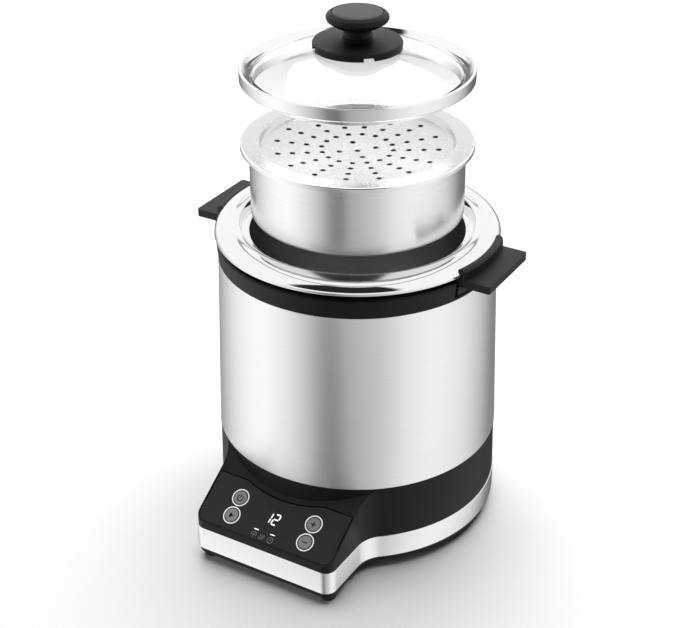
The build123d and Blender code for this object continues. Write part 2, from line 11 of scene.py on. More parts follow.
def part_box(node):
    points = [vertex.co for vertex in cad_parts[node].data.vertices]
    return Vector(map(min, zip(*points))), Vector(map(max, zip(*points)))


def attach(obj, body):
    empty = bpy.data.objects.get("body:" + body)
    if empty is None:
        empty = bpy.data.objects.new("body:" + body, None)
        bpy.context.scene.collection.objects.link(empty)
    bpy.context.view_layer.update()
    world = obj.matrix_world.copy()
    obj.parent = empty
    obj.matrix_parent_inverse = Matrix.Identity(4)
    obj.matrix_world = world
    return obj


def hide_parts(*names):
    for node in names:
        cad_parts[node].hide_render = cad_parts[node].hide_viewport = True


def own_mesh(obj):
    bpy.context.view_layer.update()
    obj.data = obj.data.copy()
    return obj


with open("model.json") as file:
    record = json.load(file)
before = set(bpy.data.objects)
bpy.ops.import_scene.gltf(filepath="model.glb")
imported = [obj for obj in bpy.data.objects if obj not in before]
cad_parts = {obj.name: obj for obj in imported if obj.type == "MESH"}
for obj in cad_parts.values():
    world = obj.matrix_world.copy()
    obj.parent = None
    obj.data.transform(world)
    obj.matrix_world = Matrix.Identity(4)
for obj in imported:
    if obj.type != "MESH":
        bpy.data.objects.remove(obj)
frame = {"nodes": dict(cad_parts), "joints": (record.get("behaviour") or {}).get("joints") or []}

scene = bpy.context.scene
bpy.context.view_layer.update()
mm = 0.001
print("frame loaded:", len(frame["nodes"]), "nodes")


def roundSpan(node):
    # a round node's outer radius, lowest and highest height in metres, from its box
    low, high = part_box(node)
    return (high.x - low.x) / 2, low.z, high.z


def roundSpanMm(node):
    # the same in millimetres
    return [value / mm for value in roundSpan(node)]


cupLow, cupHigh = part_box("steamer_insert")
axisY = (cupLow.y + cupHigh.y) / 2  # the pot's upright axis passes through (0, axisY)

press = next(joint for joint in frame["joints"] if joint["name"] == "power_press")
panelNormal = Vector(press["axis"]).normalized()  # the buttons are pressed square to the sloped panel
panelUp = Vector((0, panelNormal.z, -panelNormal.y))  # up the slope, square to the normal


def highestAlong(node, direction):
    # the largest distance of a node's points along a direction
    points = np.array([vertex.co for vertex in frame["nodes"][node].data.vertices])
    return float((points @ np.array(direction)).max())


panelLift = highestAlong("display_window", panelNormal)  # the sloped face's distance from the origin


def panelPlace(node):
    # (across, up the slope) of a node's middle on the sloped face, in mm
    low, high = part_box(node)
    middle = (low + high) / 2
    return middle.x / mm, middle.dot(panelUp) / mm


# Meshes. A piece's own UV map runs across the brush strokes in u and round the piece in v.

uvLength = 200  # mm of a profile for one unit of u
uvGirth = 560  # mm round a piece, about, for one unit of v


def addMesh(name, points, faces, uv=None, smooth=True):
    # a mesh object at the origin from arrays of points and faces; uv holds one pair for each face corner
    mesh = bpy.data.meshes.new(name)
    mesh.from_pydata(points.tolist(), [], faces.tolist())
    if uv is not None:
        layer = mesh.uv_layers.new(name="uv")
        layer.data.foreach_set("uv", uv.astype(np.float32).ravel())
    mesh.polygons.foreach_set("use_smooth", np.full(len(mesh.polygons), smooth))
    mesh.update()
    piece = bpy.data.objects.new(name, mesh)
    scene.collection.objects.link(piece)
    return piece


def tidyMesh(piece, gap=1e-6):
    # merges doubles, as at a pole or a seam, and drops the faces that they collapse, then turns faces outwards
    work = bmesh.new()
    work.from_mesh(piece.data)
    bmesh.ops.remove_doubles(work, verts=work.verts, dist=gap)
    bmesh.ops.dissolve_degenerate(work, dist=gap, edges=work.edges)
    bmesh.ops.recalc_face_normals(work, faces=work.faces)
    work.to_mesh(piece.data)
    work.free()
    return piece


def gridFaces(rows, columns, wrapRows=False):
    # quads between neighbouring rows of a grid whose columns join round, and the (row, column) of their corners
    i, j = np.meshgrid(np.arange(rows if wrapRows else rows - 1), np.arange(columns), indexing="ij")
    i, j = i.ravel(), j.ravel()
    nextI, nextJ = (i + 1) % rows, (j + 1) % columns
    quads = np.stack([i * columns + j, nextI * columns + j, nextI * columns + nextJ, i * columns + nextJ], axis=1)
    corners = np.stack([np.stack([i, j], 1), np.stack([i + 1, j], 1),
                        np.stack([i + 1, j + 1], 1), np.stack([i, j + 1], 1)], axis=1)
    return quads, corners


def distances(line, closed=False):
    # how far along a line each of its points lies, and its whole length if it closes
    if closed:
        line = np.vstack([line, line[:1]])
    return np.concatenate([[0], np.cumsum(np.linalg.norm(np.diff(line, axis=0), axis=1))])


def roundedPath(corners, steps=6, closed=False):
    # a line through corner points (a, b, radius): each corner becomes an arc tangent to both of its sides
    corners = np.array(corners, float)
    total = len(corners)
    line = []
    for k in range(total):
        point, radius = corners[k, :2], corners[k, 2]
        if radius <= 0 or (not closed and k in (0, total - 1)):
            line.append(point[None])
            continue
        back, ahead = corners[k - 1, :2] - point, corners[(k + 1) % total, :2] - point
        backLength, aheadLength = np.linalg.norm(back), np.linalg.norm(ahead)
        back, ahead = back / backLength, ahead / aheadLength
        half = np.arccos(np.clip(back @ ahead, -1, 1)) / 2
        reach = min(radius / np.tan(half), 0.49 * backLength, 0.49 * aheadLength)
        middle = point + (back + ahead) / np.linalg.norm(back + ahead) * reach / np.cos(half)
        start, end = point + back * reach - middle, point + ahead * reach - middle
        swing = pi - 2 * half
        share = np.linspace(0, 1, steps + 1)[:, None]
        line.append(middle + (start * np.sin((1 - share) * swing) + end * np.sin(share * swing)) / sin(swing))
    return np.concatenate(line)


def between(start, end, steps):
    # evenly spaced points between two points, without the two themselves
    share = np.linspace(0, 1, steps + 1)[1:-1, None]
    return share * end + (1 - share) * start


def lathe(name, profile, around=192, closed=True):
    # a surface of revolution about the pot's axis: profile points (radius, height) in mm carried round in a circle
    profile = np.array(profile, float)
    angle = np.linspace(0, 2 * pi, around, endpoint=False) + pi / 2
    radius, height = profile[:, :1] * mm, profile[:, 1:] * mm
    points = np.stack([radius * np.cos(angle), radius * np.sin(angle) + axisY, height + 0 * angle], axis=2)
    quads, corners = gridFaces(len(profile), around, wrapRows=closed)
    along = distances(profile, closed=True)
    uv = np.stack([along[corners[:, :, 0]] / uvLength, corners[:, :, 1] / around], axis=2)
    return tidyMesh(addMesh(name, points.reshape(-1, 3), quads, uv))


def perforatedSheet(name, profile, holes, around=192, holeSides=20):
    # a round sheet laid out flat as (distance along the profile, angle), triangulated round its holes, then each
    # point is lifted to the profile's radius and height at its distance; holes are (distance, angle, radius) in mm
    distance = distances(profile)
    angle = np.linspace(0, 2 * pi, around, endpoint=False)
    flat = (distance[1:, None, None] * np.stack([np.cos(angle), np.sin(angle)], 1)).reshape(-1, 2)
    centres = np.array([(d * cos(a), d * sin(a)) for d, a, _ in holes])
    radii = np.array([radius for _, _, radius in holes])
    kept = flat[(np.linalg.norm(flat[:, None] - centres, axis=2) > radii + 0.6).all(axis=1)]
    sides = np.linspace(0, 2 * pi, holeSides, endpoint=False)
    rims = centres[:, None] + radii[:, None, None] * np.stack([np.cos(sides), np.sin(sides)], 1)
    corner = len(kept) + np.arange(len(holes) * holeSides).reshape(-1, holeSides)
    edges = np.stack([corner, np.roll(corner, -1, axis=1)], axis=2).reshape(-1, 2)
    allPoints = [Vector(point) for point in np.concatenate([kept, rims.reshape(-1, 2)])]
    result = delaunay_2d_cdt(allPoints, edges.tolist(), [], 0, 1e-5)
    points, faces = np.array(result[0]), np.array(result[2])
    middle = points[faces].mean(axis=1)
    faces = faces[(np.linalg.norm(middle[:, None] - centres, axis=2) > radii * 0.98).all(axis=1)]
    reach = np.linalg.norm(points, axis=1)
    turn = np.arctan2(points[:, 1], points[:, 0])
    radius, height = np.interp(reach, distance, profile[:, 0]), np.interp(reach, distance, profile[:, 1])
    lifted = np.stack([-radius * np.sin(turn), radius * np.cos(turn) + axisY / mm, height], axis=1) * mm
    share = turn[faces] / (2 * pi) % 1
    seam = (np.ptp(share, axis=1) > 0.5)[:, None] & (share < 0.5)
    uv = np.stack([reach[faces] / uvLength, share + seam], axis=2)
    return addMesh(name, lifted, faces, uv)


def giveWall(piece, thickness, offset):
    # a sheet's wall in mm, grown to one side of it (-1 or 1) and made part of the mesh
    solid = piece.modifiers.new("wall", "SOLIDIFY")
    solid.thickness, solid.offset = thickness * mm, offset
    walled = bpy.data.meshes.new_from_object(piece.evaluated_get(bpy.context.evaluated_depsgraph_get()))
    piece.modifiers.clear()
    piece.data = walled
    return piece


def place(piece, body, material, node=None, crease=None):
    # puts a finished piece on its body with its material, in the place of a CAD node; edges sharper than crease,
    # in degrees, stay crisp
    if crease:
        piece.data.set_sharp_from_angle(angle=radians(crease))
    piece.data.materials.clear()
    piece.data.materials.append(material)
    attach(piece, body)
    if node:
        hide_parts(node)


# Materials start from what each real piece is made of; pattern sizes are real millimetres.

def linear(hexColour):
    # an sRGB hex colour as linear light
    channels = np.array([int(hexColour[k:k + 2], 16) for k in (1, 3, 5)]) / 255
    light = np.where(channels <= 0.04045, channels / 12.92, ((channels + 0.055) / 1.055) ** 2.4)
    return (*light.tolist(), 1.0)


def addNode(tree, kind, inputs=None, **settings):
    # adds one node with its settings; each input takes a value, or a link where it's given a socket
    node = tree.nodes.new(kind)
    for key, value in settings.items():
        setattr(node, key, value)
    for key, value in (inputs or {}).items():
        if isinstance(value, bpy.types.NodeSocket):
            tree.links.new(value, node.inputs[key])
        else:
            node.inputs[key].default_value = value
    return node


shaderNames = {
    "colour": "Base Color", "metallic": "Metallic", "roughness": "Roughness", "ior": "IOR",
    "anisotropy": "Anisotropic", "specular": "Specular IOR Level", "transmission": "Transmission Weight",
    "glowStrength": "Emission Strength",
}


def newMaterial(name, **shaderInputs):
    # a material with one Principled shader, its steady values set on the shader's own sockets
    material = bpy.data.materials.new(name)
    material.use_nodes = True
    shader = material.node_tree.nodes["Principled BSDF"]
    for key, value in shaderInputs.items():
        shader.inputs[shaderNames[key]].default_value = value
    return material, material.node_tree, shader


def rampStops(ramp, stops):
    # fills a colour ramp with (position, brightness) stops
    while len(ramp.elements) > 1:
        ramp.elements.remove(ramp.elements[-1])
    for k, (position, grey) in enumerate(stops):
        stop = ramp.elements.new(position) if k else ramp.elements[0]
        stop.position, stop.color = position, (grey, grey, grey, 1)


def objectNoise(tree, sizeMm, detail=3.0, roughness=0.55):
    # noise on Object coordinates with features of about sizeMm
    where = addNode(tree, "ShaderNodeTexCoord").outputs["Object"]
    mapped = addNode(tree, "ShaderNodeMapping", {"Vector": where, "Scale": [1 / (sizeMm * mm)] * 3}).outputs[0]
    return addNode(tree, "ShaderNodeTexNoise", {"Vector": mapped, "Scale": 1.0, "Detail": detail,
                                                "Roughness": roughness}).outputs["Fac"]


def unevenFinish(tree, shader, pattern, low, high):
    # the shader's roughness wanders from low to high with a 0 to 1 pattern
    wander = addNode(tree, "ShaderNodeMapRange", {"Value": pattern, "To Min": low, "To Max": high})
    tree.links.new(wander.outputs[0], shader.inputs["Roughness"])


def relief(tree, shader, pattern, depthMm, strength):
    # a pattern as bump of a real depth on the shader's normal
    bump = addNode(tree, "ShaderNodeBump", {"Height": pattern, "Strength": strength, "Distance": depthMm * mm})
    tree.links.new(bump.outputs[0], shader.inputs["Normal"])


# Strokes of a fine belt are about 0.05 mm apart; they are drawn coarser here, or they wouldn't show.
brushed = {"roughness": 0.30, "anisotropy": 0.75, "strokeMm": 0.35, "strokeLengthMm": 30,
           "darkStroke": "#dadada", "lightStroke": "#ececeb", "bump": 0.3, "depthMm": 0.004}


def brushedStainless(name, **changes):
    # 18/10 stainless sheet, brushed round the body: fine strokes that smear reflections up and down
    finish = {**brushed, **changes}
    rough = finish["roughness"]
    material, tree, shader = newMaterial(name, metallic=1.0, roughness=rough, anisotropy=finish["anisotropy"])
    where = addNode(tree, "ShaderNodeUVMap", uv_map="uv").outputs[0]
    scale = (uvLength / finish["strokeMm"], uvGirth / finish["strokeLengthMm"], 1)
    mapped = addNode(tree, "ShaderNodeMapping", {"Vector": where, "Scale": scale}).outputs[0]
    strokes = addNode(tree, "ShaderNodeTexNoise", {"Vector": mapped, "Scale": 1.0, "Detail": 4.0,
                                                   "Roughness": 0.65}).outputs["Fac"]
    unevenFinish(tree, shader, strokes, rough - 0.05, rough + 0.05)
    tint = addNode(tree, "ShaderNodeMix", data_type="RGBA", inputs={
        "Factor": strokes, 6: linear(finish["darkStroke"]), 7: linear(finish["lightStroke"])})
    tree.links.new(tint.outputs[2], shader.inputs["Base Color"])
    tangent = addNode(tree, "ShaderNodeTangent", direction_type="UV_MAP", uv_map="uv")
    tree.links.new(tangent.outputs[0], shader.inputs["Tangent"])
    relief(tree, shader, strokes, finish["depthMm"], finish["bump"])
    return material


def polishedStainless(name, colour, roughness, mattBelow=None, mattRoughness=0.30):
    # pressed and buffed stainless: a near mirror with the faint haze of its buffing; below a height, in metres,
    # it keeps the matt finish of the drawn cup
    material, tree, shader = newMaterial(name, colour=linear(colour), metallic=1.0, roughness=roughness)
    haze = objectNoise(tree, 40.0, detail=2.0)
    finish = addNode(tree, "ShaderNodeMapRange", {"Value": haze, "To Min": roughness * 0.7,
                                                  "To Max": roughness * 1.5}).outputs[0]
    if mattBelow is not None:
        where = addNode(tree, "ShaderNodeTexCoord").outputs["Object"]
        height = addNode(tree, "ShaderNodeSeparateXYZ", {"Vector": where}).outputs["Z"]
        matt = addNode(tree, "ShaderNodeMapRange", {"Value": height, "From Min": mattBelow - 0.5 * mm,
                                                    "From Max": mattBelow, "To Min": mattRoughness,
                                                    "To Max": 0.0}).outputs[0]
        finish = addNode(tree, "ShaderNodeMath", {0: finish, 1: matt}, operation="MAXIMUM").outputs[0]
    tree.links.new(finish, shader.inputs["Roughness"])
    return material


def satinMetal(name, colour, roughness, grainMm, mottle=0.0, depthMm=0.01):
    # blasted, cast or plated metal: even grain that blurs reflections the same way all round, and a faint mottle
    material, tree, shader = newMaterial(name, metallic=1.0, roughness=roughness)
    grain = objectNoise(tree, grainMm, detail=4.0, roughness=0.7)
    unevenFinish(tree, shader, objectNoise(tree, 9.0), roughness - 0.02, roughness + 0.03)
    shade = addNode(tree, "ShaderNodeMapRange", {"Value": grain, "To Min": -0.3, "To Max": 1.3}).outputs[0]
    tone = addNode(tree, "ShaderNodeMixRGB", {"Fac": mottle, "Color1": linear(colour), "Color2": shade},
                   blend_type="MULTIPLY")
    tree.links.new(tone.outputs[0], shader.inputs["Base Color"])
    relief(tree, shader, grain, depthMm, 0.35)
    return material


def mouldedPlastic(name, colour, roughness, grainMm=0.35, depthMm=0.012, specular=0.5):
    # injection-moulded plastic: even colour, fine spark-eroded grain, soft sheen
    material, tree, shader = newMaterial(name, colour=linear(colour), roughness=roughness, ior=1.5,
                                         specular=specular)
    grain = objectNoise(tree, grainMm)
    unevenFinish(tree, shader, objectNoise(tree, 25.0, detail=2.0), roughness - 0.04, roughness + 0.05)
    relief(tree, shader, grain, depthMm, 0.5)
    return material


def clearGlass(name):
    # tempered soda-lime glass, almost colourless, its faces faintly wavy in polish
    material, tree, shader = newMaterial(name, colour=linear("#fbfdfc"), roughness=0.0, ior=1.45, transmission=1.0)
    unevenFinish(tree, shader, objectNoise(tree, 60.0, detail=1.0), 0.0, 0.01)
    return material


def printedInk(name, colour, roughness=0.5, specular=0.1):
    # screen-printed ink: flat, slightly uneven in sheen
    material, tree, shader = newMaterial(name, colour=linear(colour), roughness=roughness, specular=specular)
    unevenFinish(tree, shader, objectNoise(tree, 1.5, detail=2.0), roughness - 0.08, roughness + 0.08)
    return material


def litPlastic(name, colour, strength):
    # milky plastic lit from behind by an LED, a little whiter in patches
    material, tree, shader = newMaterial(name, colour=linear("#d8d8d6"), roughness=0.4, glowStrength=strength)
    tone = addNode(tree, "ShaderNodeMix", data_type="RGBA", inputs={
        "Factor": objectNoise(tree, 3.0, detail=1.0), 6: linear(colour), 7: linear("#ffffff")})
    tree.links.new(tone.outputs[2], shader.inputs["Emission Color"])
    return material


pot = {
    "crestRadius": 77.0, "mouthRadius": 73.4, "mouthDrop": 1.5, "ledgeRadius": 72.4, "ledgeDrop": 7.0,
    "innerRadius": 67.4, "wall": 1.2, "floor": 2.4, "corner": 8.0, "rimDepth": 7.4,
}
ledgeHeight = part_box("cooking_pot")[1].z - pot["ledgeDrop"] * mm

jacketSteel = brushedStainless("brushedJacketSteel")
insertSteel = brushedStainless("satinInsertSteel", roughness=0.24, anisotropy=0.5, bump=0.12)
trimSteel = brushedStainless("brushedTrimSteel", roughness=0.24, anisotropy=0.6)
potSteel = polishedStainless("polishedPotSteel", "#dededd", 0.05, mattBelow=ledgeHeight)
lidSteel = polishedStainless("polishedLidSteel", "#e2e2e1", 0.08)
traySteel = satinMetal("blastedTraySteel", "#d6d6d5", 0.27, 0.8, mottle=0.12, depthMm=0.002)
castAluminium = satinMetal("castAluminium", "#c4c4c6", 0.45, 1.2)
zincSteel = satinMetal("zincPlatedSteel", "#b9bcc0", 0.35, 0.8)
elementSteel = satinMetal("oxidisedElementSteel", "#5c5650", 0.45, 1.0)
housingPlastic = mouldedPlastic("blackHousingAbs", "#141414", 0.38, specular=0.15)
panelPlastic = mouldedPlastic("panelFasciaAbs", "#292927", 0.42, grainMm=0.25, specular=0.15)
bandPlastic = mouldedPlastic("bandPolypropylene", "#171718", 0.40, specular=0.15)
handlePlastic = mouldedPlastic("handlePhenolic", "#1e1e1f", 0.45, grainMm=0.6, depthMm=0.02, specular=0.2)
knobPlastic = mouldedPlastic("knobPhenolic", "#1a1a1b", 0.42, grainMm=0.5, depthMm=0.02, specular=0.15)
knobTopPlastic = mouldedPlastic("knobTopSoftTouch", "#3c3c3d", 0.5, grainMm=0.4, depthMm=0.015, specular=0.3)
buttonPlastic = mouldedPlastic("buttonAbs", "#8b8b8b", 0.45, grainMm=0.5, depthMm=0.05)
windowPlastic = mouldedPlastic("displayAcrylic", "#292927", 0.36, grainMm=0.2, depthMm=0.002, specular=0.15)
platePlastic = mouldedPlastic("basePolypropylene", "#121212", 0.55, specular=0.15)
rubberBlack = mouldedPlastic("footRubber", "#141414", 0.7, grainMm=0.8, depthMm=0.03, specular=0.15)
boardLaminate = mouldedPlastic("greenBoardLaminate", "#1d5a34", 0.4, grainMm=1.5, depthMm=0.02)
whitePlastic = mouldedPlastic("whitePolyamide", "#dcdcd6", 0.45)
ironPaint = mouldedPlastic("varnishedIron", "#3b3733", 0.5, grainMm=0.8)
siliconeGrey = mouldedPlastic("greySilicone", "#9a9a9a", 0.6)
lidGlass = clearGlass("temperedGlass")
litRing = litPlastic("litRing", "#f4f4f2", 0.45)
litSegment = litPlastic("ledSegment", "#f4f6f8", 1.0)
symbolInk = printedInk("darkSymbolInk", "#161616")
iconInk = printedInk("dimIconInk", "#8e8e88")
seamShadow = printedInk("seamShadow", "#050505", 0.8, 0.0)
print("materials made:", len(bpy.data.materials))

nodesByFinish = [
    (jacketSteel, "outer_jacket"), (trimSteel, "base_trim"), (potSteel, "cooking_pot"),
    (insertSteel, "steamer_insert"), (traySteel, "steam_tray"), (lidSteel, "lid_ring"), (lidGlass, "lid_glass"),
    (castAluminium, "inner_liner heating_plate temperature_sensor handle_rivets"),
    (zincSteel, "base_screws board_screws knob_screw heater_standoffs sensor_guide sensor_spring capacitors"),
    (elementSteel, "heating_element"), (ironPaint, "transformer"), (siliconeGrey, "knob_washer"),
    (housingPlastic, "base_housing tact_switches relay"), (panelPlastic, "control_panel"),
    (windowPlastic, "display_window"), (bandPlastic, "top_band"), (platePlastic, "base_plate"),
    (rubberBlack, "rubber_feet cable_gland"), (handlePlastic, "handle_left handle_right"),
    (knobPlastic, "knob_base lid_knob"), (knobTopPlastic, "knob_cap"), (litRing, "button_rings"),
    (buttonPlastic, "power_button start_button plus_button minus_button"),
    (whitePlastic, "thermal_fuse display_module terminal_block"), (boardLaminate, "control_board power_board"),
]
for finish, names in nodesByFinish:
    for name in names.split():
        frame["nodes"][name].data.materials.clear()
        frame["nodes"][name].data.materials.append(finish)


jacket = {"wall": 0.8, "headRadius": 87.5, "hem": 0.35}


def makeJacket():
    # a thin tapered tube, its wall rounded over at both hems
    footRadius, foot, head = roundSpanMm("outer_jacket")
    wall, hem, headRadius = jacket["wall"], jacket["hem"], jacket["headRadius"]
    corners = [(footRadius - wall, foot, hem), (footRadius, foot, hem), (headRadius, head, hem),
               (headRadius - wall, head, hem)]
    shell = lathe("jacketShell", roundedPath(corners, closed=True))
    place(shell, "body", jacketSteel, "outer_jacket", crease=50)


def makePot():
    # a deep cup whose mouth steps out to a ledge and rolls over in a quarter of an ellipse
    edgeRadius, foot, crest = roundSpanMm("cooking_pot")
    inner, wall, corner, crestRadius = pot["innerRadius"], pot["wall"], pot["corner"], pot["crestRadius"]
    ledge, mouth = crest - pot["ledgeDrop"], crest - pot["mouthDrop"]
    inside = roundedPath([(0, foot + pot["floor"], 0), (inner, foot + pot["floor"], corner), (inner, ledge, 0.8),
                          (pot["ledgeRadius"], ledge, 0.8), (pot["mouthRadius"], mouth, 1.2),
                          (crestRadius, crest, 0)], steps=10)
    turn = np.linspace(0, pi / 2, 25)[1:]
    wide, deep = edgeRadius - crestRadius, pot["rimDepth"]
    dome = np.stack([crestRadius + wide * np.sin(turn), crest - deep + deep * np.cos(turn)], axis=1)
    below = dome[::-1] - [wall, wall * 0.6]
    lip = crest - deep - 0.7
    hem = roundedPath([(*dome[-1], 0), (edgeRadius - 0.1, lip, 0.4), (edgeRadius - wall, lip, 0.4), (*below[0], 0)],
                      steps=4)[1:-1]
    neck = pot["ledgeRadius"] + wall
    outside = roundedPath([(neck, crest - 2 * wall, 0), (neck, ledge - wall, 0.8), (inner + wall, ledge - wall, 0.8),
                           (inner + wall, foot, corner + wall), (0, foot, 0)], steps=10)
    shell = lathe("potShell", np.concatenate([inside, dome, hem, below[:-4], outside]), closed=False)
    place(shell, "pot", potSteel, "cooking_pot", crease=50)


tray = {
    "rimOuter": 70.4, "rimInner": 59.7, "stepRadius": 58.2, "step": 3.9, "fall": 4.4, "bendRadius": 30, "sheet": 0.8,
    "rays": 16, "rings": (49.6, 40.6, 31.4, 22.0), "innerRing": 11.5, "holeRadius": 1.75,
}


def holePlan():
    # straight rays of holes, a ring of four and one in the middle, as (distance, angle, radius)
    radius = tray["holeRadius"]
    holes = [(0.0, 0.0, radius)]
    holes += [(tray["innerRing"], radians(45 + 90 * k) - pi / 2, radius) for k in range(4)]
    holes += [(ring, 2 * pi * k / tray["rays"], radius) for ring in tray["rings"] for k in range(tray["rays"])]
    return holes


def makeTray():
    # a shallow perforated cone, steeper towards its middle, with a rounded step up to a flat rim
    head = roundSpan("steam_tray")[2] / mm
    low = head - tray["step"]
    corners = [(0, low - tray["fall"], 0), (tray["bendRadius"], low - tray["fall"] * 0.48, 0),
               (tray["stepRadius"], low, 1.0), (tray["rimInner"], head - 0.2, 0.9), (tray["rimInner"] + 1.2, head, 0.6),
               (tray["rimOuter"] - 0.4, head, 0.3), (tray["rimOuter"], head - 0.5, 0)]
    line = roundedPath(corners, steps=5)
    profile = np.concatenate([line[:1], between(line[0], line[1], 13), line[1:2], between(line[1], line[2], 11),
                              line[2:]])
    sheet = giveWall(perforatedSheet("perforatedTray", profile, holePlan()), tray["sheet"], -1)
    place(sheet, "tray", traySteel, "steam_tray", crease=50)


insert = {"radius": 66.0, "corner": 3.0, "rim": 2.2, "wall": 0.7}


def makeInsert():
    # a straight-sided cup with a perforated floor and a flat flange whose edge turns down
    rimRadius, foot, head = roundSpanMm("steamer_insert")
    radius = insert["radius"]
    corners = [(0, foot, 0), (radius, foot, insert["corner"]), (radius, head, 1.2), (rimRadius, head, 0.5),
               (rimRadius, head - insert["rim"], 0)]
    line = roundedPath(corners, steps=8)
    profile = np.concatenate([line[:1], between(line[0], line[1], 23), line[1:]])
    cup = giveWall(perforatedSheet("steamerCup", profile, holePlan()), insert["wall"], 1)
    place(cup, "insert", insertSteel, "steamer_insert", crease=50)


lid = {
    "skirtRadius": 60.9, "sheet": 0.9, "lip": 1.7, "shelfDrop": 6.8, "hemDrop": 8.0,
    "glassSphere": 129.0, "glassThickness": 3.5, "glassEdge": 63.4,
}


def makeLidRing():
    # a rolled band: upright outer face, narrow lip, hollow inner side, shelf for the glass and a skirt below
    radius, foot, head = roundSpanMm("lid_ring")
    skirt, sheet = lid["skirtRadius"], lid["sheet"]
    shelf, hem = head - lid["shelfDrop"], head - lid["hemDrop"]
    corners = [(skirt, foot, 0.3), (skirt + sheet, foot, 0.3), (skirt + sheet, hem, 0.4), (radius - 0.7, hem, 0.5),
               (radius, hem + 0.8, 0.5), (radius, head, 0.7), (radius - lid["lip"], head, 0.5),
               (radius - 2.9, head - 2.6, 3.0), (radius - 4.4, head - 5.2, 2.5), (radius - 6.2, shelf, 1.5),
               (skirt + 0.9, shelf - 0.4, 0.6), (skirt, shelf - 1.2, 0.4)]
    band = lathe("lidBand", roundedPath(corners, closed=True))
    place(band, "lid", lidSteel, "lid_ring", crease=50)


def makeGlass():
    # a shallow dome between two spheres of one radius, its rim ground round
    apex, sphere = roundSpan("lid_glass")[2] / mm, lid["glassSphere"]
    thick = lid["glassThickness"]
    radii = np.linspace(0, lid["glassEdge"], 40)
    top = np.stack([radii, apex - sphere + np.sqrt(sphere ** 2 - radii ** 2)], axis=1)
    turn = np.linspace(0, pi, 9)[1:-1]
    ground = top[-1] + np.stack([0.3 * np.sin(turn) - 0.3, thick / 2 * (np.cos(turn) - 1)], axis=1)
    dome = lathe("lidDome", np.concatenate([top, ground, top[::-1] - [0, thick]]), around=160, closed=False)
    place(dome, "lid", lidGlass, "lid_glass", crease=70)


knob = {"stem": 8.2, "radius": 18.6, "insetRadius": 15.2, "insetDepth": 1.0}


def makeKnob():
    # a stem that flares into a mushroom with a rounded rim and a shallow recess on top
    _, foot, head = roundSpanMm("lid_knob")
    stem, radius, inset, floor = knob["stem"], knob["radius"], knob["insetRadius"], head - knob["insetDepth"]
    corners = [(0, foot, 0), (9.4, foot, 0.2), (stem, foot + 2.2, 2.0), (stem, foot + 5.0, 2.0),
               (13.6, foot + 6.2, 4.0), (radius, foot + 9.4, 3.2), (radius, foot + 12.6, 2.4), (15.9, head, 1.0),
               (inset + 0.2, head - 0.2, 0.2), (inset, floor, 0.2), (0, floor, 0)]
    mushroom = lathe("knobGrip", roundedPath(corners, steps=8), around=128, closed=False)
    place(mushroom, "lid", knobPlastic, "lid_knob", crease=60)


def makeKnobCap():
    # the disc let into the knob's top, its edge softly rounded
    radius, foot, head = roundSpanMm("knob_cap")
    corners = [(0, foot, 0), (radius - 0.1, foot, 0), (radius - 0.1, head - 0.5, 0.5), (radius - 2.2, head - 0.04, 0.8),
               (0, head, 0)]
    disc = lathe("knobTopDisc", roundedPath(corners), around=128, closed=False)
    place(disc, "lid", knobTopPlastic, "knob_cap", crease=60)


trim = {"nose": 120.8, "half": 51.0, "corner": 7.5, "flank": 20.0, "wall": 1.3, "edge": 0.4}


def baseOutline(inset, arcSteps=16, roundSteps=140):
    # the base's plan, moved inwards: a round body, concave flanks and a console with round corners, as one loop
    radius, half, nose = roundSpan("base_trim")[0] / mm - inset, trim["half"] - inset, trim["nose"] - inset
    corner, flank = trim["corner"] - inset, trim["flank"] + inset
    flankX = half + flank
    flankY = -sqrt((radius + flank) ** 2 - flankX ** 2)
    start = atan2(flankY, flankX)
    body = np.linspace(start, pi - start, roundSteps)
    swing = np.linspace(-start, 0, arcSteps)[1:]
    turn = np.linspace(pi, 1.5 * pi, arcSteps)
    leftFlank = np.stack([-flankX + flank * np.cos(swing), flankY + flank * np.sin(swing)], axis=1)
    leftCorner = np.stack([-half + corner + corner * np.cos(turn), -nose + corner + corner * np.sin(turn)], axis=1)
    left = np.concatenate([leftFlank, leftCorner])
    return np.concatenate([radius * np.stack([np.cos(body), np.sin(body)], axis=1), left, left[::-1] * [-1, 1]])


def makeTrim():
    # the steel band round the base: its upright profile, rolled at both edges, carried round the base's plan
    _, foot, head = roundSpanMm("base_trim")
    wall, edge = trim["wall"], trim["edge"]
    corners = [(wall, foot, edge), (0, foot, edge), (0, head, edge), (wall, head, edge)]
    profile = roundedPath(corners, steps=5, closed=True)  # (inset, height)
    rows = np.stack([baseOutline(inset) for inset in profile[:, 0]])
    heights = np.broadcast_to(profile[:, 1:], rows.shape[:2])
    points = np.stack([rows[:, :, 0], rows[:, :, 1] + axisY / mm, heights], axis=2) * mm
    quads, corners = gridFaces(rows.shape[0], rows.shape[1], wrapRows=True)
    along, across = distances(rows[0], closed=True), distances(profile, closed=True)
    uv = np.stack([across[corners[:, :, 0]] / uvLength, along[corners[:, :, 1]] / along[-1]], axis=2)
    band = tidyMesh(addMesh("baseBand", points.reshape(-1, 3), quads, uv))
    place(band, "body", trimSteel, "base_trim", crease=40)


spring = {"coilRadius": 5.2, "wireRadius": 0.45, "turns": 4, "seat": 66.2, "length": 11.3, "stroke": 1.5}


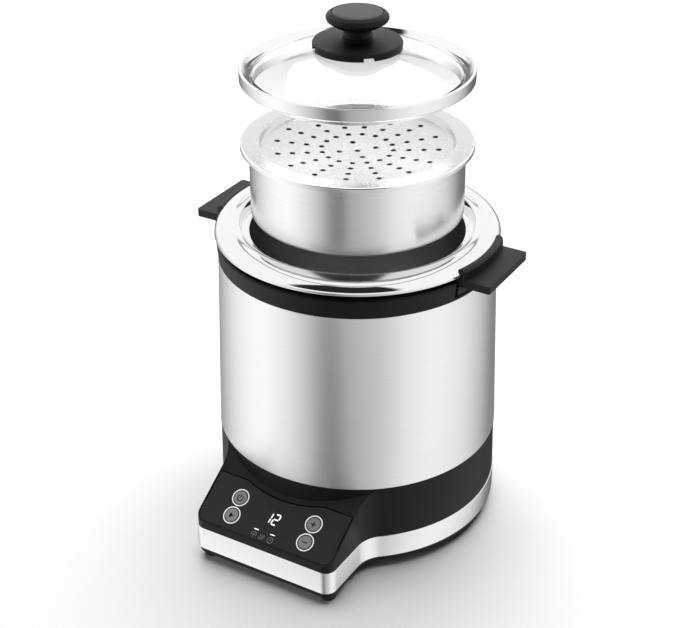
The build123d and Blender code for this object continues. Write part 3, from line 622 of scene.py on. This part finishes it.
def makeSpring():
    # a round wire carried along a helix, closed at both ends, standing on its seat under the sensor
    low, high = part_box("sensor_spring")
    wire = spring["wireRadius"]
    foot, rise = low.z / mm + wire, (high.z - low.z) / mm - 2 * wire
    turn = np.linspace(0, 2 * pi * spring["turns"], 24 * spring["turns"] + 1)[:, None]
    round12 = np.linspace(0, 2 * pi, 12, endpoint=False)
    reach = spring["coilRadius"] + wire * np.cos(round12)
    climb = foot + rise * turn / turn[-1] + wire * np.sin(round12)
    rings = np.stack([reach * np.cos(turn), reach * np.sin(turn) + axisY / mm, climb], axis=2)
    caps = [np.broadcast_to(ring.mean(axis=0), (1, *ring.shape)) for ring in (rings[0], rings[-1])]
    rings = np.concatenate([caps[0], rings, caps[1]]) * mm
    quads, _ = gridFaces(len(rings), rings.shape[1])
    coil = tidyMesh(addMesh("sensorCoil", rings.reshape(-1, 3), quads))
    place(coil, "body", zincSteel, "sensor_spring")
    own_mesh(coil)


makeJacket()
makePot()
makeInsert()
makeTray()
makeLidRing()
makeGlass()
makeKnob()
makeKnobCap()
makeTrim()
makeSpring()
print("round pieces made")


def ribbonMesh(name, strokes, width, lift, height=0.04):
    # flat print on the sloped panel: each stroke is a line of (across, up the slope) points in mm, widened to both
    # sides and given a top, a bottom and a wall
    points, faces, base = [], [], 0
    for stroke in strokes:
        line = np.array(stroke, float)
        ahead = np.gradient(line, axis=0)
        ahead /= np.linalg.norm(ahead, axis=1)[:, None]
        side = np.stack([-ahead[:, 1], ahead[:, 0]], axis=1) * width / 2
        loop = np.concatenate([line + side, (line - side)[::-1]])
        count = len(loop)
        points += [np.insert(loop, 2, level, axis=1) for level in (lift, lift + height)]
        k = np.arange(len(line) - 1)
        top = np.stack([k, k + 1, count - 2 - k, count - 1 - k], axis=1)[:, ::-1]
        ring = np.arange(count)
        nextRing = np.roll(ring, -1)
        wall = np.stack([ring, nextRing, nextRing + count, ring + count], axis=1)
        faces += [top + base + count, top[:, ::-1] + base, wall + base]
        base += 2 * count
    flat = np.concatenate(points)
    toRoom = np.array([(1, 0, 0), panelUp, panelNormal])  # across, up the slope and off the panel
    placed = flat @ toRoom * mm + np.array(panelNormal) * panelLift
    return tidyMesh(addMesh(name, placed, np.concatenate(faces), smooth=False), gap=1e-7)


def arc(x, along, radius, start, end, steps=24):
    # part of a circle from one angle to another, in degrees
    angle = np.radians(np.linspace(start, end, steps))
    return np.stack([x + radius * np.cos(angle), along + radius * np.sin(angle)], axis=1)


displayPrint = {"digitSize": 7.0, "digitLean": 0.14, "digitWidth": 0.8, "digits": ((-3.0, "bc"), (2.4, "abged")),
                "bars": (-7.0, 4.9), "barLength": 3.2, "barWidth": 0.6, "iconWidth": 0.38, "lift": 0.02,
                "rise": 0.8, "barDrop": 8.9, "iconDrop": 12.7}


def segmentDigit(x, along, segments):
    # a seven-segment digit: the named segments as short strokes with gaps at the corners, leaning to the right
    size = displayPrint["digitSize"]
    half, tall, gap = size * 0.25, size / 2, size * 0.045
    ends = {"a": ((-half, tall), (half, tall)), "b": ((half, tall), (half, 0)), "c": ((half, 0), (half, -tall)),
            "d": ((-half, -tall), (half, -tall)), "e": ((-half, 0), (-half, -tall)), "g": ((-half, 0), (half, 0))}
    strokes = []
    for name in segments:
        start, end = np.array(ends[name], float)
        way = (end - start) / np.linalg.norm(end - start)
        line = np.stack([start + way * gap, end - way * gap])
        line[:, 0] += line[:, 1] * displayPrint["digitLean"]
        strokes.append(line + [x, along])
    return strokes


def makeDisplayPrint():
    # a number, two lit bars, and under them three dim icons: steam rising under a dome, waves and a clock
    lift, middle = displayPrint["lift"], panelPlace("display_window")[1]
    row, barRow, iconRow = (middle + displayPrint["rise"], middle - displayPrint["barDrop"],
                            middle - displayPrint["iconDrop"])
    digits = sum([segmentDigit(x, row, segments) for x, segments in displayPrint["digits"]], [])
    place(ribbonMesh("displayDigits", digits, displayPrint["digitWidth"], lift), "body", litSegment)
    half = displayPrint["barLength"] / 2
    bars = [[(x - half, barRow), (x + half, barRow)] for x in displayPrint["bars"]]
    place(ribbonMesh("displayBars", bars, displayPrint["barWidth"], lift), "body", litSegment)
    icons = [arc(-7.2, iconRow + 0.2, 1.8, -20, 200),
             [(-8.1, iconRow - 0.3), (-7.2, iconRow + 0.7), (-6.3, iconRow - 0.3)],
             [(-7.2, iconRow - 2.2), (-7.2, iconRow + 0.7)],
             arc(4.9, iconRow, 1.9, 0, 360, 40), [(4.9, iconRow + 1.1), (4.9, iconRow), (5.7, iconRow)]]
    wave = np.linspace(-1, 1, 13)
    icons += [np.stack([x + 0.45 * np.sin(wave * pi), iconRow + wave * 1.7], axis=1) for x in (-2.7, -1.4, -0.1)]
    place(ribbonMesh("panelIcons", icons, displayPrint["iconWidth"], lift), "body", iconInk)


panelSeam = {"halfWidth": 49.1, "depth": 30.7, "frontGap": 12, "arcRadius": 94.4, "width": 0.8}


def makePanelSeam():
    # the shadow line of the panel's rear and side edges: straight, then an arc that follows the body
    half, reach = panelSeam["halfWidth"], panelSeam["arcRadius"]
    front, rear = panelSeam["frontGap"] - trim["nose"], panelSeam["depth"] - trim["nose"]
    end = atan2(rear, sqrt(reach ** 2 - rear ** 2))
    swing = np.linspace(end, -pi - end, 60)
    bow = reach * np.stack([np.cos(swing), np.sin(swing)], axis=1)
    plan = np.concatenate([[(half, front), (half, rear)], bow, [(-half, rear), (-half, front)]])
    upSlope = (plan[:, 1] + axisY / mm + panelLift / mm * panelUp.z) / panelUp.y
    line = np.stack([plan[:, 0], upSlope], axis=1)
    place(ribbonMesh("panelSeam", [line], panelSeam["width"], 0.01, 0.02), "body", seamShadow)


# each button's symbol: its strokes round the button's middle, in mm, and their width
buttonSymbols = {
    "plus_button": ([[(-1.8, 0), (1.8, 0)], [(0, -1.8), (0, 1.8)]], 0.75),
    "minus_button": ([[(-1.8, 0), (1.8, 0)]], 0.7),
    "power_button": ([arc(0, -0.2, 1.9, 125, 415), [(0, 0.3), (0, 2.4)]], 0.65),
    "start_button": ([[(x, 0.95 - 0.62 * x), (x, 0.62 * x - 0.95)] for x in np.arange(-1.2, 1.45, 0.3)], 0.32),
}
symbolLift = 0.03


def makeButtonSymbols():
    # a thin printed symbol on each round cap, riding with it
    capLift = (highestAlong("plus_button", panelNormal) - panelLift) / mm
    for node, (strokes, width) in buttonSymbols.items():
        shifted = [np.array(stroke, float) + panelPlace(node) for stroke in strokes]
        place(ribbonMesh(node + "Mark", shifted, width, capLift + symbolLift), node, symbolInk)


makeDisplayPrint()
makePanelSeam()
makeButtonSymbols()
print("panel made")


floor = {"colour": "#f4f4f4", "side": 3.2, "fadeStart": 0.45, "fadeEnd": 1.45}  # metres


def makeFloor():
    # a flat square under the feet, its paint thinning out with distance into the white round it
    points = np.array([(-1, -1, 0), (1, -1, 0), (1, 1, 0), (-1, 1, 0)]) * floor["side"] / 2
    square = addMesh("studioFloor", points, np.array([[0, 1, 2, 3]]), smooth=False)
    material, tree, shader = newMaterial("paintedFloor", colour=linear(floor["colour"]), roughness=0.6)
    where = addNode(tree, "ShaderNodeTexCoord").outputs["Object"]
    away = addNode(tree, "ShaderNodeVectorMath", {0: where}, operation="LENGTH").outputs["Value"]
    paint = addNode(tree, "ShaderNodeMapRange", interpolation_type="SMOOTHSTEP", inputs={
        "Value": away, "From Min": floor["fadeStart"], "From Max": floor["fadeEnd"], "To Min": 1.0, "To Max": 0.0})
    tree.links.new(paint.outputs[0], shader.inputs["Alpha"])
    square.data.materials.append(material)
    square.visible_glossy = False


# what polished metal sees below the horizon: (degrees anticlockwise from +X, brightness)
surroundings = [
    (-180, 0.78), (-161, 0.98), (-141, 1.05), (-121, 0.86), (-103, 0.58), (-88, 0.22), (-78, 0.18), (-68, 0.40),
    (-41, 0.56), (-21, 0.80), (-1, 0.92), (19, 0.90), (39, 0.78), (59, 0.52), (79, 0.17), (99, 0.12), (119, 0.16),
    (139, 0.14), (159, 0.44), (180, 0.78),
]
room = {
    "strength": 1.25,  # brightness of what shiny surfaces reflect
    "horizonLow": -0.25, "horizonHigh": 0.05,  # heights on the unit sphere over which the surroundings turn white
    "gapFacing": -70.0, "gapHalf": 46.0, "gapLow": 0.20, "gapHigh": 0.94, "gapSoft": 0.03,
    "seamFacing": 30.0, "seamMiddle": 0.8, "seamHalf": (0.47, 0.98), "seamWidth": 0.13, "seamDepth": 0.72,
}


def darkSlot(tree, azimuth, height):
    # 1 inside a sector of azimuth and a band of height, 0 outside, with soft ends
    middle, half = (room["gapFacing"] + 180) / 360, room["gapHalf"] / 360
    low, high, soft = room["gapLow"], room["gapHigh"], room["gapSoft"]
    band = addNode(tree, "ShaderNodeValToRGB", {"Fac": height})
    rampStops(band.color_ramp, [(low - soft, 0), (low, 1), (high, 1), (high + soft, 0)])
    sector = addNode(tree, "ShaderNodeValToRGB", {"Fac": azimuth})
    rampStops(sector.color_ramp, [(middle - half, 0), (middle - half * 0.85, 1), (middle + half * 0.85, 1),
                                  (middle + half, 0)])
    return addNode(tree, "ShaderNodeMath", {0: band.outputs[0], 1: sector.outputs[0]},
                   operation="MULTIPLY").outputs[0]


def ceilingSeam(tree, where, height):
    # the outline of a rounded box in the ceiling: with each direction cast on a level ceiling, the points where the
    # cubes of its distances across and away, each over the box's half side, add up to about 1
    turned = addNode(tree, "ShaderNodeMapping", {"Vector": where, "Rotation": (0, 0, -radians(room["seamFacing"]))})
    way = addNode(tree, "ShaderNodeSeparateXYZ", {"Vector": turned.outputs[0]})
    lifted = addNode(tree, "ShaderNodeMath", {0: height, 1: 0.05}, operation="MAXIMUM").outputs[0]
    cubes = []
    for side, middle, half in (("X", 0.0, room["seamHalf"][0]), ("Y", room["seamMiddle"], room["seamHalf"][1])):
        share = way.outputs[side]
        for operation, value in (("DIVIDE", lifted), ("SUBTRACT", middle), ("DIVIDE", half), ("ABSOLUTE", 0.0),
                                 ("POWER", 3.0)):
            share = addNode(tree, "ShaderNodeMath", {0: share, 1: value}, operation=operation).outputs[0]
        cubes.append(share)
    total = addNode(tree, "ShaderNodeMath", {0: cubes[0], 1: cubes[1]}, operation="ADD").outputs[0]
    outline = addNode(tree, "ShaderNodeMath", {0: total, 1: 1.0, 2: room["seamWidth"]}, operation="COMPARE")
    return addNode(tree, "ShaderNodeMath", {0: outline.outputs[0], 1: room["seamDepth"]},
                   operation="MULTIPLY").outputs[0]


def makeWorld():
    # what shiny surfaces reflect: soft boxes and dark gaps by azimuth below the horizon, and above it white with a
    # dark slot between two boxes and a thin seam round a third; matt surfaces are lit by the lamps alone
    world = bpy.data.worlds.new("studioWorld")
    scene.world = world
    world.use_nodes = True
    world.cycles_visibility.diffuse = False
    tree = world.node_tree
    tree.nodes.clear()
    where = addNode(tree, "ShaderNodeTexCoord").outputs["Generated"]
    azimuth = addNode(tree, "ShaderNodeTexGradient", {"Vector": where}, gradient_type="RADIAL").outputs["Fac"]
    height = addNode(tree, "ShaderNodeSeparateXYZ", {"Vector": where}).outputs["Z"]
    below = addNode(tree, "ShaderNodeValToRGB", {"Fac": azimuth})
    rampStops(below.color_ramp, [((degrees + 180) / 360, grey) for degrees, grey in surroundings])
    dark = addNode(tree, "ShaderNodeMath", operation="MAXIMUM", inputs={
        0: darkSlot(tree, azimuth, height), 1: ceilingSeam(tree, where, height)}).outputs[0]
    above = addNode(tree, "ShaderNodeMapRange", {"Value": dark, "To Min": 1.0, "To Max": 0.02}).outputs[0]
    horizon = addNode(tree, "ShaderNodeMapRange", interpolation_type="SMOOTHSTEP", inputs={
        "Value": height, "From Min": room["horizonLow"], "From Max": room["horizonHigh"]}).outputs[0]
    seen = addNode(tree, "ShaderNodeMix", {"Factor": horizon}, data_type="RGBA")
    tree.links.new(below.outputs[0], seen.inputs[6])
    tree.links.new(above, seen.inputs[7])
    reflected = addNode(tree, "ShaderNodeBackground", {"Color": seen.outputs[2], "Strength": room["strength"]})
    backdrop = addNode(tree, "ShaderNodeBackground", {"Color": (1, 1, 1, 1), "Strength": 1.0})
    ray = addNode(tree, "ShaderNodeLightPath").outputs["Is Camera Ray"]
    both = addNode(tree, "ShaderNodeMixShader", {0: ray, 1: reflected.outputs[0], 2: backdrop.outputs[0]})
    addNode(tree, "ShaderNodeOutputWorld", {"Surface": both.outputs[0]})


# each lamp: (power in watts, side in metres, place)
softBoxes = {"overheadSoftBox": (98.0, 2.8, (-0.25, 0.85, 2.2)), "frontFill": (16.0, 2.4, (-1.0, -2.2, 1.0))}


def makeSoftBox(name, power, side, spot):
    # a large square lamp aimed at the piece, which lights matt surfaces only
    lamp = bpy.data.lights.new(name, "AREA")
    lamp.shape, lamp.size, lamp.energy = "SQUARE", side, power
    box = bpy.data.objects.new(name, lamp)
    box.location = spot
    box.rotation_euler = (Vector((0, 0, 0.1)) - box.location).to_track_quat("-Z", "Y").to_euler()
    box.visible_glossy = False
    scene.collection.objects.link(box)


view = {"azimuth": 30.21, "elevation": 29.94, "distance": 0.96976, "aim": (0.0, 0.0144, 0.13411),
        "lens": 79.56, "shiftX": -0.0266, "shiftY": 0.0005}  # degrees, metres, and mm of lens


def makeCamera():
    # a long lens that looks down from the front right
    lens = bpy.data.cameras.new("studioCamera")
    lens.lens, lens.sensor_width = view["lens"], 36
    lens.shift_x, lens.shift_y = view["shiftX"], view["shiftY"]
    lens.clip_start = 0.05
    camera = bpy.data.objects.new("studioCamera", lens)
    side, up = radians(view["azimuth"]), radians(view["elevation"])
    aim = Vector(view["aim"])
    camera.location = aim + view["distance"] * Vector((sin(side) * cos(up), -cos(side) * cos(up), sin(up)))
    camera.rotation_euler = (aim - camera.location).to_track_quat("-Z", "Y").to_euler()
    scene.collection.objects.link(camera)
    scene.camera = camera


makeFloor()
makeWorld()
for name, (power, side, spot) in softBoxes.items():
    makeSoftBox(name, power, side, spot)
makeCamera()
scene.view_settings.view_transform = "Standard"
print("studio set")
